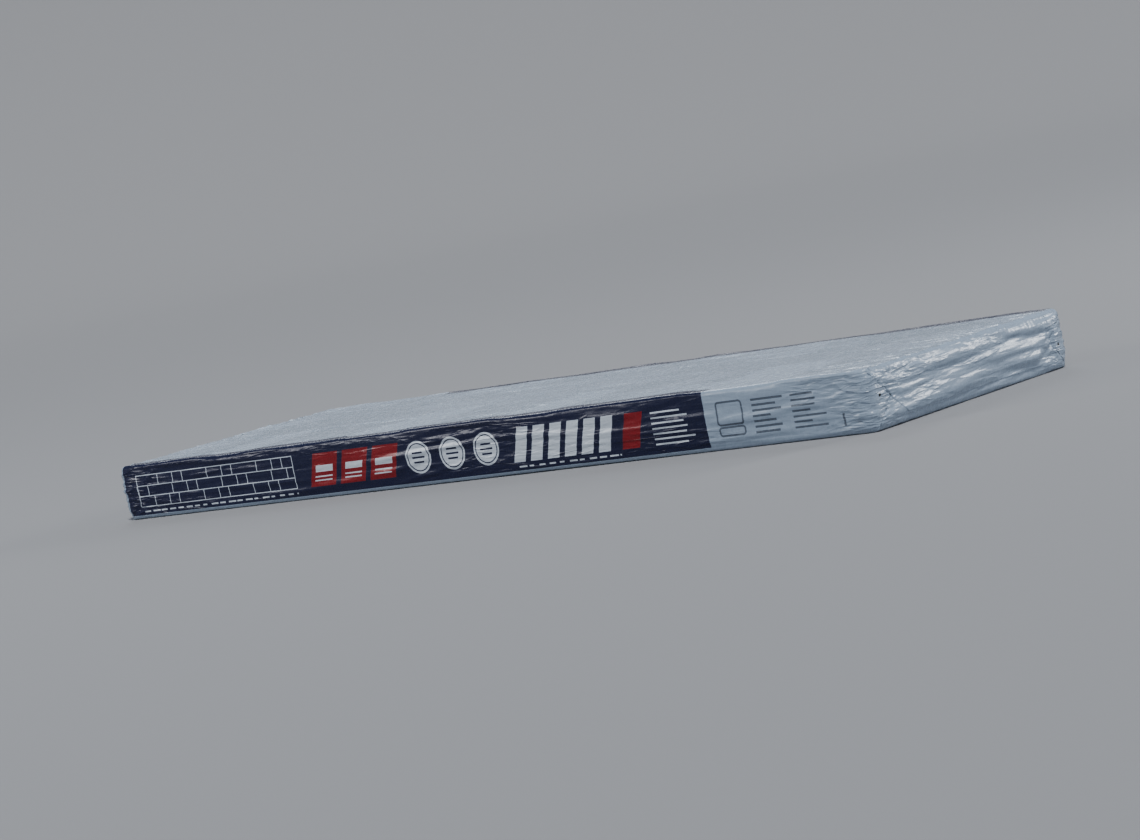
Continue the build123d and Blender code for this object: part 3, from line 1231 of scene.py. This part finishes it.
class FilmFinish:
    """Semi-gloss printed polyethylene, a little see-through where it lies on the dark stack."""

    inks: Inks = Inks()  # colours of the film and of its print
    plan: PrintPlan = PrintPlan()  # where the print lies
    rim: float = 2  # how far under the top the top's finish starts
    ply_pitch: float = 5.3  # height of one pair of shingles, whose edges show through the upright faces
    granules: float = 560.0  # granules of the top shingle to a metre
    # the holes by an end's two upright edges: side, way in and height of each
    vents: tuple[tuple[float, float, float], ...] = ((-1, 13, 33.0), (1, 15, 25.0))
    vent_radius: float = 3.1  # radius of a hole
    weld: Span = (11, 3)  # how far each of the lap's two weld lines is from its middle, and its half width
    weld_turn: float = 2.1  # radians of the weld's pattern to a millimetre

    def __init__(self, shape: SleeveShape) -> None:
        """Starts the film's graph with what its parts share: where a point is, and whether it is on top.

        Args:
            shape: gives the places of the top, the ends and the lap.
        """
        self.shape = shape
        self.graph = ShaderGraph("printed_film")
        self.place = self.graph.place()
        self.x, self.y, self.z = (part / MM for part in self.graph.split(self.place))
        self.on_top = self.z > shape.sizes.height - self.rim

    def material(self) -> bpy.types.Material:
        """Builds the film's material.

        Returns:
            The material.
        """
        worn = self._streaks((60, 220, 420), 4, 0.7).spread(0.6, 0.74)
        return self.graph.surface(
            # vent holes get near black: the dark stack behind them, and painted shade under the film
            Base_Color=self.graph.blend(self._vents(), self._printed(worn), self.inks.hole_stack_in_shade),
            Roughness=0.19 + self.graph.noise(self.place, 160, 2) * 0.16 + worn * 0.14,
            IOR=1.5,
            Normal=self._relief(),
        )

    def _streaks(self, scale: tuple[float, float, float], *details: float) -> Value:
        """Noise that is drawn out, by its repeats a metre along each axis."""
        return self.graph.noise(self.graph.stretched(self.place, scale), 1.0, *details)

    def _plies(self) -> Value:
        """The stack's layers as level waves from -1 to 1, a little uneven."""
        return (self.z * (2 * math.pi / self.ply_pitch) + self._streaks((8, 30, 60), 2) * 3).sine()

    def _pale_film(self) -> Socket:
        """The bare film's colour: darker where it lies on the stack, which shows through it.

        Returns:
            The colour.
        """
        graph, place = self.graph, self.place
        flat = self.on_top.at_least(self.z < 1)
        lift = graph.value("ShaderNodeAttribute", {"attribute_name": "lift"}, {}, "Fac")
        touch = 1 - (lift.spread(0.15, 1.5) * 0.75 + graph.noise(place, 40, 3) * 0.45).spread(0.1, 0.95)
        granules = 1 - Value(graph, graph.cells(place, self.granules)["Distance"]).spread(0.12, 0.62)
        stack = flat * (0.5 + granules * 0.5) + (1 - flat) * (0.45 + self._plies() * 0.35)
        # both film colours are painted darker and bluer than white: painted shade and blue skylight
        return graph.blend((touch * stack).at_most(1.0), self.inks.film, self.inks.film_on_stack)

    def _printed(self, worn: Value) -> Socket:
        """The print over the bare film, thinner where it is worn.

        Args:
            worn: how worn it is.

        Returns:
            The colour.
        """
        graph, inks, art = self.graph, self.inks, SidePrint(self.graph, self.plan)
        navy = graph.blend(worn * 0.6 + graph.noise(self.place, 55, 3) * 0.12, inks.navy, inks.navy_worn)
        colour = graph.blend(art.rectangle(*self.plan.band), self._pale_film(), navy)
        for shapes, ink, cover, wear in (
            (art.red_shapes(), inks.red, 1.0, 0.3),
            (art.white_shapes(), inks.white, 0.97, 0.4),
            (art.grey_shapes(), inks.grey, 0.85, 0.45),
        ):
            colour = graph.blend(shapes * (cover - worn * wear), colour, ink)
        return colour

    def _vents(self) -> Value:
        """Small ragged vent holes near both ends' upright edges, in near black: the stack behind, and painted
        shade.

        Returns:
            The mask.
        """
        ragged = self.graph.noise(self.place, 420, 1) * 2.2
        holes = []
        for side, inward, height in self.vents:
            far = distance(self.y - side * (self.shape.half_y - inward), (self.z - height) * 1.5) + ragged
            holes.append(far < self.vent_radius)
        return any_of(*holes) * (abs(self.x) > self.shape.half_x - 4)

    def _relief(self) -> Socket:
        """Fine crumple, the stack's plies showing through the upright faces, and the lap's weld.

        The crumple is drawn out along the film's grain: level on the upright faces, lengthways on
        the top. It is made of creases where noise crosses its middle value, which come and go in
        patches, and of small flat facets.

        Returns:
            The normal.
        """
        graph, place, shape = self.graph, self.place, self.shape
        upright = (self.z > 4) * (1 - self.on_top)
        from_end, from_side = shape.half_x - abs(self.x), shape.half_y - abs(self.y)
        on_upright, on_flat = (graph.stretched(place, scale) for scale in ((0.8, 0.8, 4.2), (0.7, 2.6, 1.0)))
        grain = graph.choose(self.on_top, on_upright, on_flat)
        patches = self._streaks((9, 13.5, 22.5), 2).spread(0.4, 0.64)
        loose = (patches * 0.75).at_least(1 - from_end.at_least(from_side).spread(15, 60))
        calm = 0.55 + from_end.spread(150, 20) * 0.45
        wide = 1 - abs(graph.noise(grain, 19, 1, 0.5, 0.5) * 2 - 1)
        fine = 1 - abs(graph.noise(grain, 48, 1, 0.5, 0.4) * 2 - 1)
        sharp = ((wide**9) * (loose * 0.55 + 0.12) + (fine**7) * (loose * 0.22 + 0.03)) * calm
        facets = (graph.facets(grain, 21) * 1.3 + graph.facets(grain, 60) * (loose + 0.08)) * calm
        grit = graph.noise(place, 480, 2, 0.6) * 0.045
        plies = self._plies() * upright * self._streaks((5, 12, 90), 2).spread(0.4, 0.72) * 0.08
        weld_at, weld_half = self.weld
        welded = (self.z < shape.rest_height + 0.1) * (abs(abs(self.y) - weld_at) < weld_half)
        weld = (self.x * self.weld_turn).sine() * (self.y * self.weld_turn).sine() * welded * 0.2
        return graph.bump(facets + sharp + grit + plies + weld, 1 * MM)


@dataclass(frozen=True)
class GranuleFinish:
    """Mineral granules pressed into dark asphalt."""

    asphalt: Colour = (0.012, 0.011, 0.011, 1)  # between the granules
    dark: Colour = (0.05, 0.05, 0.052, 1)  # the darkest granules
    mid: Colour = (0.12, 0.115, 0.11, 1)  # most granules
    pale: Colour = (0.30, 0.28, 0.26, 1)  # the palest granules
    mid_shades: Span = (0.45, 0.8)  # the shades, from 0 to 1, that have just the mid colour
    granules: float = 700.0  # how many there are to a metre

    def material(self) -> bpy.types.Material:
        """Builds the material of the shingles.

        Returns:
            The material.
        """
        graph = ShaderGraph("granules_on_asphalt")
        place = graph.place()
        cells = graph.cells(place, self.granules)
        tone, far = graph.split(cells["Color"])[0], Value(graph, cells["Distance"])
        low, high = self.mid_shades
        shade = tone * 0.7 + graph.noise(place, 9, 3) * 0.45
        granule = graph.blend(shade / low, self.dark, self.mid)
        granule = graph.blend((shade - high) / (1 - high), granule, self.pale)
        return graph.surface(
            Base_Color=graph.blend(far.spread(0.55, 0.85), granule, self.asphalt),
            Roughness=0.85 - tone * 0.2,
            Normal=graph.bump(1 - far, 0.5 * MM, 0.9),
        )


class LampKind(Enum):
    """The two kinds of lamp: a far one, and a shining disc near by."""

    SUN = "SUN"
    DISC = "AREA"


@dataclass(frozen=True)
class Lamp:
    """A lamp that shines on the bundle."""

    name: str  # of its object
    kind: LampKind  # far or near
    place: tuple[float, float, float]  # where it stands, in metres
    size: float  # a sun's width in degrees, or a disc's diameter in metres
    power: float  # a sun's strength, or a disc's watts
    tint: tuple[float, float, float] = (1.0, 1.0, 1.0)  # colour of its light

    def build(self, aim: Vector) -> None:
        """Makes the lamp and turns it to a point.

        Args:
            aim: the point.
        """
        data = bpy.data.lights.new(self.name, self.kind.value)
        if self.kind is LampKind.SUN:
            data.angle = math.radians(self.size)
        else:
            data.shape = "DISK"
            data.size = self.size
        data.energy = self.power
        data.color = self.tint
        lamp = add_object(self.name, data)
        lamp.location = self.place
        lamp.rotation_euler = (aim - Vector(self.place)).to_track_quat("-Z", "Y").to_euler()


@dataclass(frozen=True)
class Studio:
    """A plain pale floor that sweeps up far away, soft lights, and the camera at the photograph's angle."""

    azimuth: float = 40.07  # of the camera, in degrees from straight in front of the long side, towards +X
    elevation: float = 4.80  # of the camera over the middle of the bundle, in degrees
    distance: float = 3.766  # from the camera to the middle of the bundle, in metres
    roll: float = -11.4  # of the camera about its view, in degrees
    focal: float = 3600.0  # focal length in photograph pixels, for a frame of frame_width pixels
    frame_width: float = 1140.0  # of the photograph, in pixels
    sensor: float = 36.0  # width of the camera's sensor in its own millimetres
    floor_colour: Colour = (0.34, 0.345, 0.36, 1)
    # radius of the floor's flat part and of its sweep, and height of its rim, in metres
    floor_sizes: tuple[float, float, float] = (7.0, 3.0, 5.0)
    lamps: tuple[Lamp, ...] = (
        Lamp("key", LampKind.SUN, (0.98, -0.86, 2.2), 10.0, 2.15, (1.0, 0.99, 0.97)),
        Lamp("rim", LampKind.SUN, (-1.6, 1.7, 1.5), 20.0, 0.5, (0.93, 0.97, 1.0)),
        Lamp("side", LampKind.DISC, (-2.3, -2.4, 1.2), 1.0, 20.0),
        Lamp("end", LampKind.DISC, (2.2, 2.6, 1.0), 1.0, 32.0),
    )
    lamp_aim: float = 0.03  # how high over the floor's middle the lamps are aimed, in metres
    room_colour: Colour = (0.74, 0.84, 1.0, 1)  # of the even light from all round
    room_strength: float = 0.25  # of that light

    def camera(self, aim: Vector) -> None:
        """Makes the camera and aims it at a point.

        Args:
            aim: the point in the middle of the view.
        """
        azimuth, elevation = math.radians(self.azimuth), math.radians(self.elevation)
        level = math.cos(elevation)
        back = Vector((math.sin(azimuth) * level, -math.cos(azimuth) * level, math.sin(elevation)))
        data = bpy.data.cameras.new("camera")
        data.sensor_width = self.sensor
        data.lens = self.focal * self.sensor / self.frame_width
        data.clip_start, data.clip_end = 0.05, 200.0
        camera = add_object("camera", data)
        turn = (-back).to_track_quat("-Z", "Y").to_matrix().to_4x4()
        spin = Matrix.Rotation(math.radians(self.roll), 4, "Z")
        camera.matrix_world = Matrix.Translation(aim + back * self.distance) @ turn @ spin
        bpy.context.scene.camera = camera

    def floor(self) -> None:
        """Makes the floor: a disc whose rim sweeps up, as a profile turned about Z."""
        flat, sweep, wall = self.floor_sizes
        angle = np.linspace(0, math.pi / 2, 13)
        radius = np.concatenate([[0.0, 0.5, 2.0, 4.0], flat + sweep * np.sin(angle), [flat + sweep]])[:, None]
        height = np.concatenate([np.zeros(4), sweep * (1 - np.cos(angle)), [wall]])[:, None]
        turn = np.linspace(0, 2 * math.pi, 64, endpoint=False)
        points = vectors(radius * np.cos(turn), radius * np.sin(turn), height)
        mesh = bpy.data.meshes.new("floor")
        mesh.from_pydata(points.reshape(-1, 3), [], grid_faces(*points.shape[:2], closed=True))
        mesh.shade_smooth()
        matte = {"Base_Color": self.floor_colour, "Roughness": 1.0, "Specular_IOR_Level": 0.0}
        mesh.materials.append(ShaderGraph("floor").surface(**matte))
        ground = add_object("floor", mesh)
        ground.visible_shadow = False

    def lights(self) -> None:
        """Makes the soft lights and the even light of the room."""
        for lamp in self.lamps:
            lamp.build(Vector((0.0, 0.0, self.lamp_aim)))
        world = bpy.data.worlds.new("room")
        world.use_nodes = True
        room = world.node_tree.nodes["Background"].inputs
        room["Color"].default_value = self.room_colour
        room["Strength"].default_value = self.room_strength
        bpy.context.scene.world = world
        bpy.context.scene.view_settings.look = "AgX - Medium High Contrast"


@dataclass(frozen=True)
class ShingleStack:
    """The shingles inside the film, which keep their solids."""

    nodes: tuple[str, ...] = ("shingles_face_up", "shingles_face_down")

    def dress(self) -> None:
        """Gives the shingles the finish of granules on asphalt."""
        finish = GranuleFinish().material()
        for name in self.nodes:
            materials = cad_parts[name].data.materials
            materials.clear()
            materials.append(finish)
            LOG.info("dressed %s", name)


def main() -> None:
    """Builds and dresses the wrapper, dresses the stack and sets the studio."""
    logging.basicConfig(level=logging.INFO, format="%(message)s")
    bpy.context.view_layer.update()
    sizes = BlockSizes.of_wrapper()
    shape = SleeveShape(sizes)
    film = Wrapper(shape)
    wrapper = film.build()
    film.dress(wrapper)
    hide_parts("wrapper_film")
    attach(wrapper, "root")
    LOG.info("wrapper: %d faces", len(wrapper.data.polygons))
    ShingleStack().dress()
    studio = Studio()
    studio.floor()
    studio.lights()
    studio.camera(Vector((0.0, 0.0, sizes.height / 2 * MM)))


if __name__ == "__main__":
    main()
